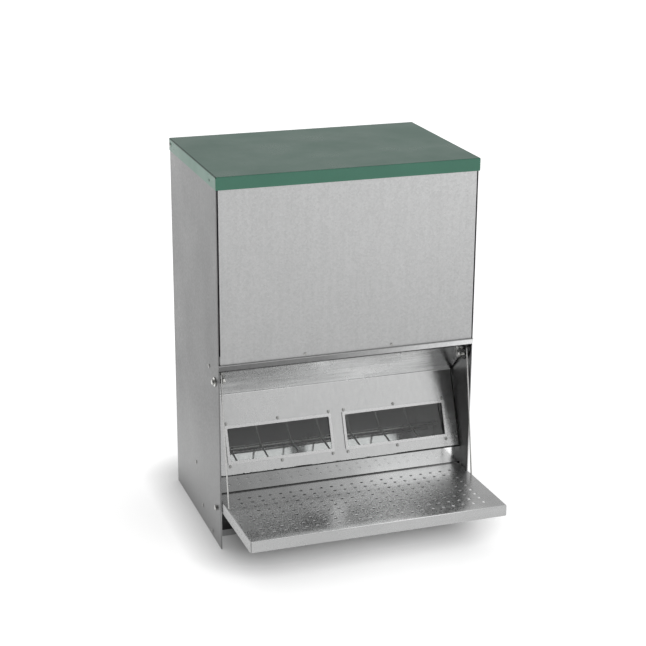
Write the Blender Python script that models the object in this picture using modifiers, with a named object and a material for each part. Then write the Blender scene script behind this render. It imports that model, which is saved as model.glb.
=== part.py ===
"""Treadle poultry feeder: a sheet-steel hopper whose feed trough opens when a bird steps on the treadle.

Metres, +Z up, the treadle towards -Y. The origin is the centre of the body's footprint on the ground.
Joint axes all run along +X: the lid pins, the flap bolts, the treadle bolts and the rods' lower hooks.
"""

from math import atan2, cos, pi, radians

import bmesh
import bpy
from mathutils import Matrix, Vector

# ---- driving dimensions -------------------------------------------------------------------------
MM = 0.001
BODY_WIDTH = 418 * MM
BODY_DEPTH = 279 * MM
HEIGHT = 600 * MM
SHEET = 0.8 * MM
HEM = 0.8 * MM
HEM_WIDTH = 8 * MM
GAP = 0.3 * MM

HALF_WIDTH = BODY_WIDTH / 2
FRONT = -BODY_DEPTH / 2
REAR = BODY_DEPTH / 2
WALL_INNER = HALF_WIDTH - SHEET
WALL_TOP = HEIGHT - 1.2 * MM
INSIDE_HALF = WALL_INNER - GAP
NARROW_HALF = INSIDE_HALF - SHEET - GAP
MOVING_HALF = 206 * MM
BEND_RADIUS = 1.2 * MM

LID_AXIS = Vector((0, 132.5 * MM, 590 * MM))
LID_CLEARANCE = 5.6 * MM
LID_SKIRT = 20 * MM
LID_HALF = 210.2 * MM
LID_FRONT = FRONT - 4.4 * MM
LID_REAR = REAR - 0.6 * MM
LID_LOCK_HOLE = (-108 * MM, 588 * MM)

LIP_TOP = 307 * MM
LIP_BOTTOM = 297.5 * MM
LIP_DEPTH = 3.4 * MM
PANEL_FACE = FRONT - 1 * MM
PANEL_TOP = 594 * MM
PANEL_RIVET_X = 71 * MM
PANEL_RIVET_Z = 311.5 * MM

FLAP_AXIS = Vector((0, -116.5 * MM, 273 * MM))
FLAP_TOP_EDGE = (-133.6 * MM, 296.9 * MM)
FLAP_CREASE = (-63.3 * MM, 229.4 * MM)
FLAP_BOTTOM_EDGE = (-109.8 * MM, 112 * MM)
ROD_HOOK = (-130.8 * MM, 288.5 * MM)
EAR_OUTLINE = ((-131.5, 294.9), (-136.5, 290.5), (-136.8, 284.5), (-129, 270.5), (-116.5, 263.2), (-103, 267.5))

WINDOW_CENTRE = 98 * MM
WINDOW_WIDTH = 168 * MM
WINDOW_HEIGHT = 51.6 * MM
WINDOW_MIDDLE = 45.9 * MM
FRAME_BORDER = 4.8 * MM
FRAME_THICKNESS = 1.2 * MM
PANE_THICKNESS = 1.5 * MM
PANE_WIDTH = 182 * MM
PANE_HEIGHT = 76.5 * MM
WINDOW_RIVET_X = 85.3 * MM
WINDOW_RIVET_Y = 33.7 * MM

TREADLE_AXIS = Vector((0, -116 * MM, 61.8 * MM))
TREADLE_TILT = radians(-1.735)
TREADLE_HALF = 206.8 * MM
TREADLE_LENGTH = 184.9 * MM
TREADLE_REAR = 5 * MM
TREADLE_RISE = 17.66 * MM
TREADLE_SKIRT = 17.5 * MM
TREADLE_SHEET = 1 * MM
HOLE_PITCH = 17 * MM
HOLE_RADIUS = 2.5 * MM
HOLE_COLUMNS = 22
HOLE_ROWS = 9

ROD_FOOT = (-167 * MM, 80.2 * MM)
ROD_X = 203.3 * MM
ROD_RADIUS = 1.25 * MM

TROUGH_FRONT = -106.6 * MM
TROUGH_TOP = 109.3 * MM
TROUGH_FLOOR = 16.4 * MM
TROUGH_REAR = -38 * MM
SLOPE_FOOT = (-42.6 * MM, 17.5 * MM)
SLOPE_HEAD = (137.9 * MM, 296 * MM)
SLOPE_FLANGE = 15 * MM
BAFFLE_PROFILE = ((-139, 321.5), (-139, 304), (-37, 266), (-27, 160), (-7, 111))
SIDE_FLANGE = 12 * MM
FLANGE_FOOT = 18 * MM
TRAY_FRONT = -96 * MM
TRAY_FLANGE = 15 * MM
REAR_TOP = 594 * MM

GRID_WIRE = 1.5 * MM
GRID_PITCH = 52.5 * MM
GRID_WIRES = 7
GRID_FRONT = (-102.5 * MM, 101.5 * MM)
GRID_BACK = (-9.6 * MM, 112.5 * MM)

RIVET_RADIUS = 1.7 * MM
SMALL_RIVET = 1.3 * MM
BAFFLE_RIVET = (-83 * MM, 287.5 * MM)
SLOPE_RIVET = (11 * MM, 86.6 * MM)
TROUGH_RIVET = (-28.5 * MM, 27 * MM)
TRAY_RIVET = (-86 * MM, 7.5 * MM)
BOLT_RADIUS = 2.4 * MM
PIN_RADIUS = 2 * MM

STEEL = "galvanised"


# ---- scene helpers ------------------------------------------------------------------------------
def clear_scene():
    for old in list(bpy.data.objects):
        bpy.data.objects.remove(old, do_unlink=True)


def new_collection(name):
    made = bpy.data.collections.new(name)
    bpy.context.scene.collection.children.link(made)
    return made


clear_scene()
PARTS = new_collection("treadle_poultry_feeder")
CUTTERS = new_collection("cutters")


def make_material(name, colour, roughness, metallic, alpha=1.0):
    made = bpy.data.materials.new(name)
    made.use_nodes = True
    shader = made.node_tree.nodes["Principled BSDF"]
    shader.inputs["Base Color"].default_value = (*colour, 1.0)
    shader.inputs["Roughness"].default_value = roughness
    shader.inputs["Metallic"].default_value = metallic
    shader.inputs["Alpha"].default_value = alpha
    return made


MATERIALS = {
    STEEL: make_material("galvanised", (0.56, 0.56, 0.56), 0.35, 1.0),
    "green_paint": make_material("green_paint", (0.03, 0.16, 0.10), 0.35, 0.0),
    "clear_plastic": make_material("clear_plastic", (0.8, 0.83, 0.82), 0.08, 0.0, 0.3),
    "zinc_plate": make_material("zinc_plate", (0.66, 0.66, 0.63), 0.3, 1.0),
    "rivet_alloy": make_material("rivet_alloy", (0.72, 0.72, 0.72), 0.35, 1.0),
}


def register(obj, name, slot, parent=None):
    """Name a finished piece, give it its material and put it in the parts collection."""
    obj.name = name
    obj.data.name = name
    obj.data.materials.clear()
    obj.data.materials.append(MATERIALS[slot])
    for holder in list(obj.users_collection):
        holder.objects.unlink(obj)
    PARTS.objects.link(obj)
    if parent is not None:
        obj.parent = parent
        obj.location -= parent.location
    return obj


def make_helper(obj):
    """Keep a Boolean operand out of the model."""
    for holder in list(obj.users_collection):
        holder.objects.unlink(obj)
    CUTTERS.objects.link(obj)
    obj.hide_render = True
    obj.display_type = "WIRE"
    return obj


def axis_empty(name, location):
    made = bpy.data.objects.new(name, None)
    made.location = location
    PARTS.objects.link(made)
    return made


def boolean(obj, other, operation):
    change = obj.modifiers.new(operation.lower(), "BOOLEAN")
    change.operation = operation
    change.solver = "EXACT"
    change.object = make_helper(other)
    return obj


def solidify(obj, thickness, offset=0.0):
    shell = obj.modifiers.new("solidify", "SOLIDIFY")
    shell.thickness = thickness
    shell.offset = offset
    shell.use_even_offset = True


def mesh_from_curve(curve_object):
    """Turn a curve object into a mesh object with welded caps."""
    bpy.context.view_layer.update()
    graph = bpy.context.evaluated_depsgraph_get()
    mesh = bpy.data.meshes.new_from_object(curve_object.evaluated_get(graph))
    work = bmesh.new()
    work.from_mesh(mesh)
    bmesh.ops.remove_doubles(work, verts=work.verts, dist=1e-6)
    work.to_mesh(mesh)
    work.free()
    made = bpy.data.objects.new(curve_object.name, mesh)
    made.matrix_world = curve_object.matrix_world.copy()
    bpy.context.scene.collection.objects.link(made)
    bpy.data.objects.remove(curve_object, do_unlink=True)
    return made


def poly_curve(points, cyclic):
    curve = bpy.data.curves.new("outline", "CURVE")
    spline = curve.splines.new("POLY")
    spline.points.add(len(points) - 1)
    for point, place in zip(spline.points, points):
        point.co = (*place, 1.0) if len(place) == 3 else (*place, 0.0, 1.0)
    spline.use_cyclic_u = cyclic
    made = bpy.data.objects.new("outline", curve)
    bpy.context.scene.collection.objects.link(made)
    return made


# ---- shape helpers ------------------------------------------------------------------------------
SIDE_VIEW = Matrix(((0, 0, 1), (1, 0, 0), (0, 1, 0))).to_4x4()


def bent_sheet(profile, half_width, origin=(0, 0), thickness=SHEET, offset=0.0):
    """A sheet folded along a (y, z) profile, running across the feeder from -half_width to half_width."""
    strip = poly_curve([(y - origin[0], z - origin[1]) for y, z in profile], cyclic=False)
    strip.data.dimensions = "3D"
    strip.data.extrude = half_width
    strip.matrix_world = Matrix.Translation((0, *origin)) @ SIDE_VIEW
    sheet = mesh_from_curve(strip)
    sheet.data.transform(SIDE_VIEW)
    sheet.matrix_world = Matrix.Translation((0, *origin))
    round_bends = sheet.modifiers.new("bends", "BEVEL")
    round_bends.width = BEND_RADIUS
    round_bends.segments = 2
    round_bends.limit_method = "ANGLE"
    round_bends.angle_limit = radians(15)
    solidify(sheet, thickness, offset)
    return sheet


def side_plate(outline, x_low, x_high):
    """A flat plate with a (y, z) outline, between two planes of constant x."""
    plate = poly_curve(outline, cyclic=True)
    plate.data.dimensions = "2D"
    plate.data.fill_mode = "BOTH"
    plate.data.extrude = (x_high - x_low) / 2
    plate.matrix_world = Matrix.Translation(((x_low + x_high) / 2, 0, 0)) @ SIDE_VIEW
    made = mesh_from_curve(plate)
    made.data.transform(made.matrix_world)
    made.matrix_world = Matrix.Identity(4)
    return made


def box(low, high):
    bpy.ops.mesh.primitive_cube_add(size=1)
    made = bpy.context.active_object
    low, high = Vector(low), Vector(high)
    made.data.transform(Matrix.Translation((low + high) / 2) @ Matrix.Diagonal((*(high - low), 1)))
    return made


def object_from(work, name):
    """Finish a bmesh as an object in the scene."""
    mesh = bpy.data.meshes.new(name)
    work.to_mesh(mesh)
    work.free()
    made = bpy.data.objects.new(name, mesh)
    bpy.context.scene.collection.objects.link(made)
    return made


def cylinders(places, radius, length, sides):
    """One object that holds an upright cylinder at each place, a matrix."""
    work = bmesh.new()
    for place in places:
        bmesh.ops.create_cone(work, cap_ends=True, segments=sides, radius1=radius, radius2=radius,
                              depth=length, matrix=place)
    return object_from(work, "cylinders")


def rods_along_x(centres, radius, x_low, x_high, sides=10):
    """One object that holds a cylinder along x at each (y, z) centre."""
    turn = Matrix.Rotation(pi / 2, 4, "Y")
    middle = (x_low + x_high) / 2
    places = [Matrix.Translation((middle, y, z)) @ turn for y, z in centres]
    return cylinders(places, radius, x_high - x_low, sides)


def posts_along_z(centres, radius, z_low, z_high, sides):
    """One object that holds an upright cylinder at each (x, y) centre."""
    places = [Matrix.Translation((x, y, (z_low + z_high) / 2)) for x, y in centres]
    return cylinders(places, radius, z_high - z_low, sides)


def turned(profile, location, direction, sides=10):
    """A round solid: profile is (radius, height) from its top to its bottom, height along direction."""
    mesh = bpy.data.meshes.new("turned")
    corners = [(radius, 0, height) for radius, height in profile]
    edges = [(i, i + 1) for i in range(len(corners) - 1)]
    mesh.from_pydata(corners, edges, [])
    made = bpy.data.objects.new("turned", mesh)
    bpy.context.scene.collection.objects.link(made)
    spin = made.modifiers.new("screw", "SCREW")
    spin.steps = sides
    spin.render_steps = sides
    spin.use_merge_vertices = True
    spin.merge_threshold = 1e-5
    spin.use_smooth_shade = True
    made.matrix_world = Matrix.Translation(location) @ direction.to_track_quat("Z", "Y").to_matrix().to_4x4()
    return made


def hex_prism(location, across_flats, x_low, x_high):
    bpy.ops.mesh.primitive_cylinder_add(vertices=6, radius=across_flats / 2 / cos(pi / 6), depth=x_high - x_low)
    made = bpy.context.active_object
    made.data.transform(Matrix.Rotation(pi / 2, 4, "Y"))
    made.location = ((x_low + x_high) / 2, location[0], location[1])
    return made


def ordered(a, b):
    return min(a, b), max(a, b)


# ---- fasteners ----------------------------------------------------------------------------------
def rivet_profile(radius, grip):
    """Domed head above zero, shank through the grip, and a set tail below it."""
    head = 2.05 * radius
    tail = 1.5 * radius
    return ((0, 0.95 * radius), (0.6 * head, 0.75 * radius), (head, GAP), (radius, GAP), (radius, -grip),
            (tail, -grip), (tail, -grip - radius), (0, -grip - 1.5 * radius))


def rivet(name, location, direction, grip, radius=RIVET_RADIUS, parent=None):
    made = turned(rivet_profile(radius, grip + GAP), location, direction, sides=8)
    return register(made, name, "rivet_alloy", parent)


def side_rivets(label, centre, inner_face):
    """A rivet through each side wall and the flange whose inner face is at inner_face."""
    for side, sign in (("left", -1), ("right", 1)):
        place = Vector((sign * HALF_WIDTH, *centre))
        rivet(f"{label}_rivet_{side}", place, Vector((sign, 0, 0)), HALF_WIDTH - inner_face)


def pivot_bolt(label, axis, side, sign, reach, washer):
    """A hex bolt that is a hinge pin, with its nut inside and, for the flap, a washer outside."""
    centre = (axis.y, axis.z)
    seat = HALF_WIDTH + GAP
    if washer:
        ring = rods_along_x([centre], 7.5 * MM, *ordered(sign * seat, sign * (seat + 1.2 * MM)), sides=20)
        hole = rods_along_x([centre], BOLT_RADIUS + GAP, *ordered(sign * (seat - MM), sign * (seat + 3 * MM)))
        boolean(ring, hole, "DIFFERENCE")
        register(ring, f"{label}_washer_{side}", "zinc_plate")
        seat += 1.2 * MM + GAP
    head = hex_prism(centre, 8 * MM, *ordered(sign * seat, sign * (seat + 3.5 * MM)))
    shank = rods_along_x([centre], BOLT_RADIUS, *ordered(sign * (seat + MM), sign * reach))
    boolean(head, shank, "UNION")
    register(head, f"{label}_bolt_{side}", "zinc_plate")
    nut = hex_prism(centre, 8 * MM, *ordered(sign * (reach + 1.5 * MM), sign * (reach + 6 * MM)))
    hole = rods_along_x([centre], BOLT_RADIUS + GAP, *ordered(sign * reach, sign * (reach + 9 * MM)))
    boolean(nut, hole, "DIFFERENCE")
    register(nut, f"{label}_nut_{side}", "zinc_plate")


# ---- body ---------------------------------------------------------------------------------------
def side_wall(side, sign):
    """A flat wall with a safe edge folded inside its open front, and a corner cut for the lid to swing past."""
    outline = ((FRONT, 0), (REAR, 0), (REAR, WALL_TOP - LID_CLEARANCE), (REAR - LID_CLEARANCE, WALL_TOP),
               (FRONT, WALL_TOP))
    wall = side_plate(outline, *ordered(sign * WALL_INNER, sign * HALF_WIDTH))
    low, high = ordered(sign * (WALL_INNER - HEM), sign * (WALL_INNER + HEM / 2))
    boolean(wall, box((low, FRONT, 0), (high, FRONT + HEM_WIDTH, LIP_BOTTOM - 2 * MM)), "UNION")
    through = ordered(sign * (WALL_INNER - 2 * MM), sign * (HALF_WIDTH + MM))
    rivets = [BAFFLE_RIVET, SLOPE_RIVET, TROUGH_RIVET, TRAY_RIVET]
    boolean(wall, rods_along_x(rivets, RIVET_RADIUS + GAP, *through, sides=8), "DIFFERENCE")
    bolts = [(FLAP_AXIS.y, FLAP_AXIS.z), (TREADLE_AXIS.y, TREADLE_AXIS.z)]
    boolean(wall, rods_along_x(bolts, BOLT_RADIUS + GAP, *through), "DIFFERENCE")
    pins = [(LID_AXIS.y, LID_AXIS.z), LID_LOCK_HOLE]
    boolean(wall, rods_along_x(pins, PIN_RADIUS + GAP, *through), "DIFFERENCE")
    register(wall, f"{side}_side_wall", STEEL)


def side_flanges(sheet, outline, outer, rivets=()):
    """Join a flange with the given (y, z) outline to each side edge of a sheet, with holes for its rivets."""
    for sign in (-1, 1):
        flange = side_plate(outline, *ordered(sign * (outer - SHEET), sign * outer))
        if rivets:
            holes = rods_along_x(rivets, RIVET_RADIUS + GAP, -HALF_WIDTH, HALF_WIDTH, sides=8)
            boolean(flange, holes, "DIFFERENCE")
        boolean(sheet, flange, "UNION")


def rear_wall():
    middle = REAR - SHEET / 2
    inner = REAR - SHEET
    wall = bent_sheet(((middle, 0), (middle, REAR_TOP)), INSIDE_HALF)
    reach = INSIDE_HALF - MM
    hem = box((-reach, inner - HEM, REAR_TOP - HEM_WIDTH), (reach, middle, REAR_TOP - SHEET / 4))
    boolean(wall, hem, "UNION")
    low, high = FLANGE_FOOT, REAR_TOP - 2 * SIDE_FLANGE
    front = REAR - SIDE_FLANGE
    side_flanges(wall, ((front, low), (middle, low), (middle, high), (front, high)), INSIDE_HALF)
    register(wall, "rear_wall", STEEL)


def panel_rivet_holes():
    """Cutters for the two rivets that join the front panel to the baffle."""
    centres = [(-PANEL_RIVET_X, 0), (PANEL_RIVET_X, 0)]
    holes = posts_along_z(centres, SMALL_RIVET + GAP, -5 * MM, 5 * MM, 8)
    holes.data.transform(Matrix.Translation((0, FRONT, PANEL_RIVET_Z)) @ Matrix.Rotation(pi / 2, 4, "X"))
    return holes


def front_panel():
    back = PANEL_FACE + SHEET
    panel = box((-MOVING_HALF, PANEL_FACE, LIP_BOTTOM + 4 * MM), (MOVING_HALF, back, PANEL_TOP))
    rear_face = FRONT - GAP
    lip = side_plate(((rear_face, LIP_BOTTOM), (rear_face, LIP_TOP), (rear_face - LIP_DEPTH, LIP_TOP),
                      (rear_face - 0.6 * MM, LIP_BOTTOM)), -HALF_WIDTH, HALF_WIDTH)
    fold = lip.modifiers.new("fold", "BEVEL")
    fold.width = 0.5 * MM
    fold.segments = 2
    fold.limit_method = "ANGLE"
    boolean(panel, lip, "UNION")
    front, rear = PANEL_FACE + SHEET / 2, FRONT + SIDE_FLANGE
    low, high = LIP_TOP + 2 * SIDE_FLANGE, PANEL_TOP - MM
    side_flanges(panel, ((front, low), (rear, low), (rear, high), (front, high)), MOVING_HALF)
    boolean(panel, panel_rivet_holes(), "DIFFERENCE")
    register(panel, "front_panel", STEEL)
    for side, sign in (("left", -1), ("right", 1)):
        place = Vector((sign * PANEL_RIVET_X, PANEL_FACE, PANEL_RIVET_Z))
        rivet(f"front_panel_rivet_{side}", place, Vector((0, -1, 0)), 2 * MM, SMALL_RIVET)


def flange_along(start, end, depth):
    """The (y, z) outline of a strip of the given depth along a sloping line, on its left-hand side."""
    run = (end - start).normalized()
    across = Vector((-run.y, run.x)) * depth
    return (start, end, end + across, start + across)


def hopper_baffle():
    """Hangs behind the front panel, and guides the feed back over the flap and down to the throat."""
    profile = [Vector((y * MM, z * MM)) for y, z in BAFFLE_PROFILE]
    baffle = bent_sheet(profile, NARROW_HALF)
    start, end = profile[1], profile[2]
    boolean(baffle, panel_rivet_holes(), "DIFFERENCE")
    outline = flange_along(start.lerp(end, 0.07), start.lerp(end, 0.93), SIDE_FLANGE)
    side_flanges(baffle, outline, NARROW_HALF, [BAFFLE_RIVET])
    register(baffle, "hopper_baffle", STEEL)


def slope_plate():
    """Carries the feed from the rear wall down and forward into the trough."""
    foot, head = Vector(SLOPE_FOOT), Vector(SLOPE_HEAD)
    plate = bent_sheet((foot, head, head + Vector((0, SLOPE_FLANGE))), NARROW_HALF)
    outline = flange_along(head.lerp(foot, 0.08), head.lerp(foot, 0.984), SIDE_FLANGE)
    side_flanges(plate, outline, NARROW_HALF, [SLOPE_RIVET, TROUGH_RIVET])
    register(plate, "slope_plate", STEEL)


def feed_trough():
    profile = ((TROUGH_FRONT, TROUGH_TOP), (TROUGH_FRONT, TROUGH_FLOOR), (TROUGH_REAR, TROUGH_FLOOR))
    trough = bent_sheet(profile, INSIDE_HALF)
    reach = INSIDE_HALF - MM
    hem = box((-reach, TROUGH_FRONT - SHEET / 4, TROUGH_TOP - HEM_WIDTH),
              (reach, TROUGH_FRONT + SHEET / 2 + HEM, TROUGH_TOP - SHEET / 4))
    boolean(trough, hem, "UNION")
    front, rear = TROUGH_FRONT + 3 * MM, TROUGH_REAR - 3 * MM
    low, high = TROUGH_FLOOR, TROUGH_FLOOR + SIDE_FLANGE
    side_flanges(trough, ((front, low), (rear, low), (rear, high), (front, high)), INSIDE_HALF)
    register(trough, "feed_trough", STEEL)


def base_tray():
    middle = SHEET / 2
    rear = REAR - SHEET - GAP - middle
    profile = ((TRAY_FRONT, TRAY_FLANGE), (TRAY_FRONT, middle), (rear, middle), (rear, TRAY_FLANGE))
    tray = bent_sheet(profile, INSIDE_HALF)
    low, high = TRAY_FRONT + 3 * MM, rear - 3 * MM
    side_flanges(tray, ((low, middle), (high, middle), (high, TRAY_FLANGE), (low, TRAY_FLANGE)), INSIDE_HALF)
    cut = rods_along_x([TRAY_RIVET], RIVET_RADIUS + GAP, -HALF_WIDTH, HALF_WIDTH, sides=8)
    boolean(tray, cut, "DIFFERENCE")
    register(tray, "base_tray", STEEL)


def wire(points, radius):
    made = poly_curve(points, cyclic=False)
    made.data.dimensions = "3D"
    made.data.bevel_depth = radius
    made.data.bevel_resolution = 2
    made.data.use_fill_caps = True
    return mesh_from_curve(made)


def anti_waste_grid():
    """Wires from front to back over the feed, welded on top of two cross rods."""
    reach = INSIDE_HALF
    drop = 1.6 * GRID_WIRE
    (front, front_z), (back, back_z) = GRID_FRONT, GRID_BACK
    grid = wire([(-reach, front, front_z - drop), (reach, front, front_z - drop)], GRID_WIRE)
    rear_rod = wire([(-reach, back, back_z - drop), (reach, back, back_z - drop)], GRID_WIRE)
    boolean(grid, rear_rod, "UNION")
    for i in range(GRID_WIRES):
        x = (i - (GRID_WIRES - 1) / 2) * GRID_PITCH
        boolean(grid, wire([(x, front - MM, front_z), (x, back + MM, back_z)], GRID_WIRE), "UNION")
    register(grid, "anti_waste_grid", "zinc_plate")


# ---- lid ----------------------------------------------------------------------------------------
def flanged_plate(name, half_width, front, rear, top, skirt, thickness):
    """A sheet whose front and side edges are turned down, given by its outer faces."""
    edge = half_width - thickness / 2
    front = front + thickness / 2
    level = top - thickness / 2
    work = bmesh.new()
    bmesh.ops.create_grid(work, x_segments=1, y_segments=1, size=0.5)
    place = Matrix.Translation((0, (rear + front) / 2, level)) @ Matrix.Diagonal((2 * edge, rear - front, 1, 1))
    bmesh.ops.transform(work, matrix=place, verts=work.verts)
    turned_down = [side for side in work.edges if min(corner.co.y for corner in side.verts) < rear - MM]
    extruded = bmesh.ops.extrude_edge_only(work, edges=turned_down)["geom"]
    low = [part for part in extruded if isinstance(part, bmesh.types.BMVert)]
    bmesh.ops.translate(work, vec=(0, 0, thickness / 2 - skirt), verts=low)
    bmesh.ops.recalc_face_normals(work, faces=work.faces)
    plate = object_from(work, name)
    folds = plate.modifiers.new("folds", "BEVEL")
    folds.width = BEND_RADIUS
    folds.segments = 2
    folds.limit_method = "ANGLE"
    solidify(plate, thickness)
    return plate


def lid(axis):
    cap = flanged_plate("lid", LID_HALF, LID_FRONT - LID_AXIS.y, LID_REAR - LID_AXIS.y, HEIGHT - LID_AXIS.z,
                        LID_SKIRT, SHEET)
    cap.location = LID_AXIS
    holes = rods_along_x([(LID_AXIS.y, LID_AXIS.z), LID_LOCK_HOLE], PIN_RADIUS + GAP, -HEIGHT, HEIGHT)
    boolean(cap, holes, "DIFFERENCE")
    register(cap, "lid", "green_paint", axis)


def lid_pins():
    for side, sign in (("left", -1), ("right", 1)):
        place = Vector((sign * LID_HALF, LID_AXIS.y, LID_AXIS.z))
        pin = turned(rivet_profile(PIN_RADIUS, LID_HALF - WALL_INNER + GAP), place, Vector((sign, 0, 0)))
        register(pin, f"lid_pin_{side}", "rivet_alloy")


# ---- flap ---------------------------------------------------------------------------------------
FLAP_RUN = Vector((FLAP_CREASE[0] - FLAP_BOTTOM_EDGE[0], FLAP_CREASE[1] - FLAP_BOTTOM_EDGE[1]))
FLAP_LEAN = atan2(FLAP_RUN.y, FLAP_RUN.x)


def window_frame_matrix(sign, proud):
    """The plane of a window: x across, y up the flap, z out of its front, with its origin at the centre."""
    up = FLAP_RUN.normalized()
    out = Vector((-up.y, up.x))
    y = FLAP_BOTTOM_EDGE[0] + up.x * WINDOW_MIDDLE + out.x * proud
    z = FLAP_BOTTOM_EDGE[1] + up.y * WINDOW_MIDDLE + out.y * proud
    return Matrix.Translation((sign * WINDOW_CENTRE, y, z)) @ Matrix.Rotation(FLAP_LEAN, 4, "X")


def window_block(width, height, low, high):
    return box((-width / 2, -height / 2, low), (width / 2, height / 2, high))


def place_on_window(obj, sign, proud=0.0):
    obj.data.transform(window_frame_matrix(sign, proud))
    return obj


def rivet_places():
    return [(x * WINDOW_RIVET_X, y * WINDOW_RIVET_Y) for x in (-1, 0, 1) for y in (-1, 1)]


def window_rivet_holes():
    return posts_along_z(rivet_places(), SMALL_RIVET + GAP, -5 * MM, 5 * MM, 8)


def flap_panel(axis):
    profile = (FLAP_TOP_EDGE, FLAP_CREASE, FLAP_BOTTOM_EDGE)
    panel = bent_sheet(profile, MOVING_HALF, origin=(FLAP_AXIS.y, FLAP_AXIS.z))
    ear_outline = [(y * MM, z * MM) for y, z in EAR_OUTLINE]
    for sign in (-1, 1):
        ear = side_plate(ear_outline, *ordered(sign * (MOVING_HALF - TREADLE_SHEET), sign * MOVING_HALF))
        boolean(panel, ear, "UNION")
        opening = window_block(WINDOW_WIDTH + 2 * MM, WINDOW_HEIGHT + 2 * MM, -5 * MM, 5 * MM)
        boolean(panel, place_on_window(opening, sign), "DIFFERENCE")
        boolean(panel, place_on_window(window_rivet_holes(), sign), "DIFFERENCE")
    bolt_hole = rods_along_x([(FLAP_AXIS.y, FLAP_AXIS.z)], BOLT_RADIUS + GAP, -HALF_WIDTH, HALF_WIDTH)
    boolean(panel, bolt_hole, "DIFFERENCE")
    hook_hole = rods_along_x([ROD_HOOK], ROD_RADIUS + 2.3 * GAP, -HALF_WIDTH, HALF_WIDTH)
    boolean(panel, hook_hole, "DIFFERENCE")
    register(panel, "flap_panel", STEEL, axis)


def flap_windows(axis):
    front = SHEET / 2 + GAP
    back = -SHEET / 2 - GAP
    for side, sign in (("left", -1), ("right", 1)):
        frame = window_block(WINDOW_WIDTH + 2 * FRAME_BORDER, WINDOW_HEIGHT + 2 * FRAME_BORDER,
                             front, front + FRAME_THICKNESS)
        place_on_window(frame, sign)
        opening = window_block(WINDOW_WIDTH, WINDOW_HEIGHT, -5 * MM, 5 * MM)
        boolean(frame, place_on_window(opening, sign), "DIFFERENCE")
        register(frame, f"window_frame_{side}", "rivet_alloy", axis)
        pane = window_block(PANE_WIDTH, PANE_HEIGHT, back - PANE_THICKNESS, back)
        place_on_window(pane, sign)
        boolean(pane, place_on_window(window_rivet_holes(), sign), "DIFFERENCE")
        register(pane, f"window_pane_{side}", "clear_plastic", axis)
        window_rivets(side, sign, axis)


def window_rivets(side, sign, axis):
    grip = SHEET + GAP + PANE_THICKNESS
    out = window_frame_matrix(sign, 0).to_3x3() @ Vector((0, 0, 1))
    for number, (x, y) in enumerate(rivet_places(), start=1):
        place = window_frame_matrix(sign, SHEET / 2) @ Vector((x, y, 0))
        rivet(f"window_rivet_{side}_{number}", place, out, grip, SMALL_RIVET, axis)


# ---- treadle and rods ---------------------------------------------------------------------------
def treadle(axis):
    """A perforated plate with its front and side edges turned down, and an ear at each rear corner."""
    plate = flanged_plate("treadle", TREADLE_HALF, TREADLE_REAR - TREADLE_LENGTH, TREADLE_REAR, TREADLE_RISE,
                          TREADLE_SKIRT, TREADLE_SHEET)
    tilt = Matrix.Rotation(TREADLE_TILT, 4, "X")
    plate.data.transform(tilt)
    plate.location = TREADLE_AXIS
    add_treadle_ears(plate)
    cut_treadle_holes(plate, Matrix.Translation(TREADLE_AXIS) @ tilt)
    register(plate, "treadle", STEEL, axis)


def add_treadle_ears(plate):
    y, z = TREADLE_AXIS.y, TREADLE_AXIS.z
    ear_outline = ((y + 6 * MM, z + 10 * MM), (y + 6 * MM, z - 4 * MM), (y + 3 * MM, z - 8 * MM),
                   (y - 5 * MM, z - 8 * MM), (y - 16 * MM, z), (y - 16 * MM, z + 8 * MM))
    for sign in (-1, 1):
        ear = side_plate(ear_outline, *ordered(sign * (TREADLE_HALF - TREADLE_SHEET), sign * TREADLE_HALF))
        boolean(plate, ear, "UNION")


def cut_treadle_holes(plate, place):
    middle = TREADLE_REAR - TREADLE_LENGTH / 2
    columns = [(i - (HOLE_COLUMNS - 1) / 2) * HOLE_PITCH for i in range(HOLE_COLUMNS)]
    rows = [middle + (j - (HOLE_ROWS - 1) / 2) * HOLE_PITCH for j in range(HOLE_ROWS)]
    centres = [(x, y) for x in columns for y in rows]
    low, high = TREADLE_RISE - 6 * MM, TREADLE_RISE + 5 * MM
    drain = posts_along_z(centres, HOLE_RADIUS, low, high, 6)
    drain.data.transform(place)
    boolean(plate, drain, "DIFFERENCE")
    foot = place.inverted() @ Vector((0, *ROD_FOOT))
    rod_holes = posts_along_z([(-ROD_X, foot.y), (ROD_X, foot.y)], 2 * ROD_RADIUS, low, high, 8)
    rod_holes.data.transform(place)
    boolean(plate, rod_holes, "DIFFERENCE")
    bolt_hole = rods_along_x([(TREADLE_AXIS.y, TREADLE_AXIS.z)], BOLT_RADIUS + GAP, -HALF_WIDTH, HALF_WIDTH)
    boolean(plate, bolt_hole, "DIFFERENCE")


def pull_rod(side, sign):
    """A wire hooked outwards through the flap's ear and inwards under the treadle."""
    axis = axis_empty(f"rod_axis_{side}", (sign * ROD_X, *ROD_FOOT))
    run = Vector((ROD_HOOK[0] - ROD_FOOT[0], ROD_HOOK[1] - ROD_FOOT[1]))
    along = run.normalized()
    bend = 2.5 * MM
    foot = Vector((0, -3.5 * MM * along.x, -3.5 * MM * along.y))
    top = Vector((0, run.x, run.y))
    points = [(-sign * 7 * MM, foot.y, foot.z), (-sign * bend, foot.y, foot.z), (0, 0, 0)]
    points += [(0, top.y - bend * along.x, top.z - bend * along.y), (sign * 0.7 * MM, top.y, top.z),
               (sign * 3.6 * MM, top.y, top.z)]
    rod = wire(points, ROD_RADIUS)
    rod.location = axis.location
    register(rod, f"pull_rod_{side}", "zinc_plate", axis)


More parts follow.
